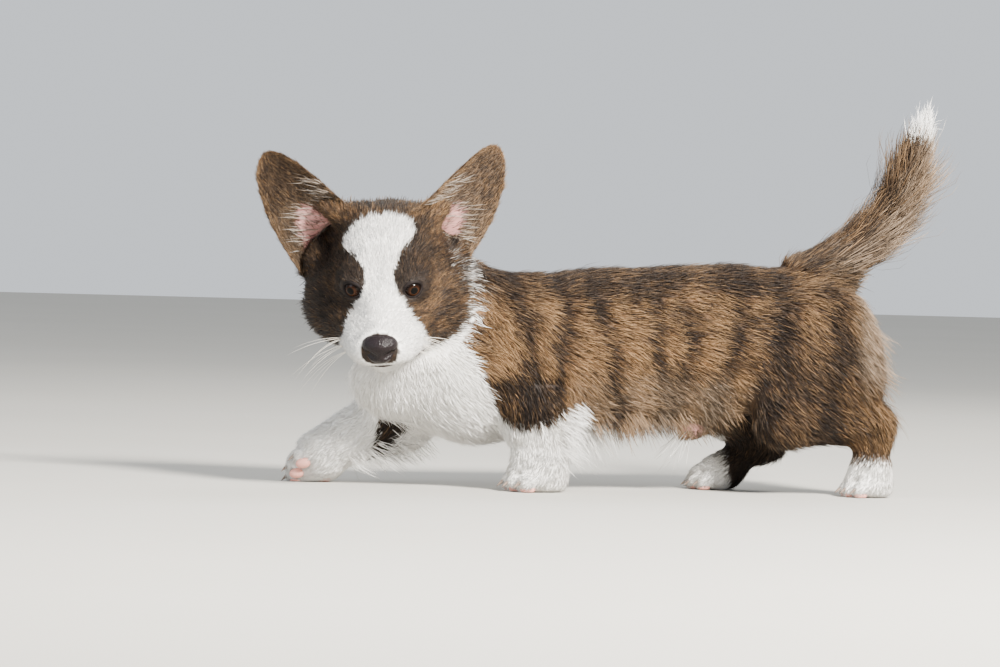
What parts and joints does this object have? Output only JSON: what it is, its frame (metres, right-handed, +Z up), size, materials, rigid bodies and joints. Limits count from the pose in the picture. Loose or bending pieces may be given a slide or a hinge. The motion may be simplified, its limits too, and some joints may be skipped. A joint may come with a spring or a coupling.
{
  "type": "cardigan welsh corgi puppy",
  "caption": "Life-size brindle and white Cardigan Welsh corgi puppy walking on short legs, head turned to one side, ears erect, bushy white-tipped tail raised; stands on its paws.",
  "frame": {"origin": "on the floor, under the middle of the model's bounding box", "axes": "+X the way the body walks, +Y the puppy's left, +Z up"},
  "size_m": [0.4952, 0.1524, 0.2833],
  "materials": {
    "brindle_coat": "soft brindle fur, dark brown striped with tan",
    "white_coat": "soft white fur",
    "nose_leather": "moist, finely pebbled",
    "eye": "wet gloss"
  },
  "bodies": {
    "root": {"ear_left": "brindle_coat", "ear_right": "brindle_coat", "eye_left": "eye", "eye_right": "eye", "forearm_left": "white_coat", "forearm_right": "white_coat", "forepaw_left": "white_coat", "forepaw_right": "white_coat", "head": "brindle_coat", "hindpaw_left": "white_coat", "hindpaw_right": "white_coat", "hock_left": "brindle_coat", "hock_right": "brindle_coat", "lower_jaw": "white_coat", "neck": "white_coat", "nose": "nose_leather", "shank_left": "brindle_coat", "shank_right": "brindle_coat", "shoulder_left": "brindle_coat", "shoulder_right": "brindle_coat", "tail": "brindle_coat", "tail_tip": "white_coat", "thigh_left": "brindle_coat", "thigh_right": "brindle_coat", "torso": "brindle_coat"}
  },
  "joints": []
}
